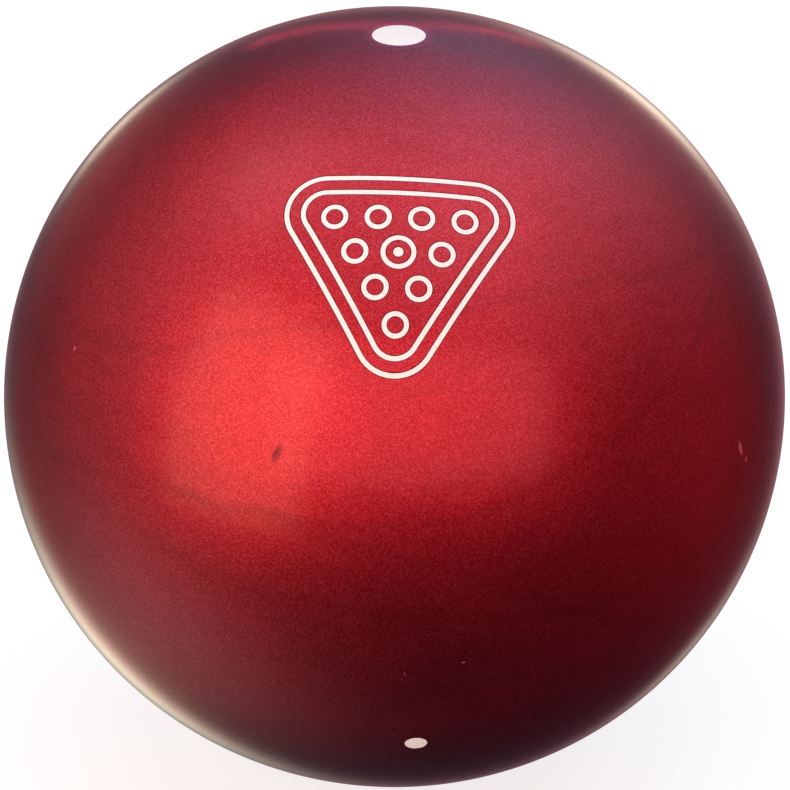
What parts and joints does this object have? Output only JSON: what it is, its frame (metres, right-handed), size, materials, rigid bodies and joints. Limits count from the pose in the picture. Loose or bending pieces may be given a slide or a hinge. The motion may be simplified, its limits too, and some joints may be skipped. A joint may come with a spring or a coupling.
{
  "type": "bowling ball",
  "caption": "Undrilled ten-pin bowling ball: pearl red urethane shell round a filler ball and a dense weight block hung on a white pin, with a painted engraved emblem.",
  "frame": {"origin": "centre of the ball", "axes": "+Z from the centre through the white pin's face, -Y side holds the emblem, +X to the right of a reader of the emblem"},
  "size_m": [0.2182, 0.2182, 0.2182],
  "materials": {
    "pearl_urethane": "satin",
    "filler_resin": "matte",
    "weight_block_resin": "matte",
    "white_resin": "satin",
    "white_paint": "satin"
  },
  "bodies": {
    "root": {"coverstock": "pearl_urethane", "outer_core": "filler_resin", "weight_block": "weight_block_resin", "core_pin": "white_resin", "locator_plug": "white_resin", "emblem_outer_line_infill": "white_paint", "emblem_inner_line_infill": "white_paint", "emblem_rack_infill": "white_paint", "emblem_middle_ring_infill": "white_paint", "emblem_middle_dot_infill": "white_paint"}
  },
  "joints": []
}
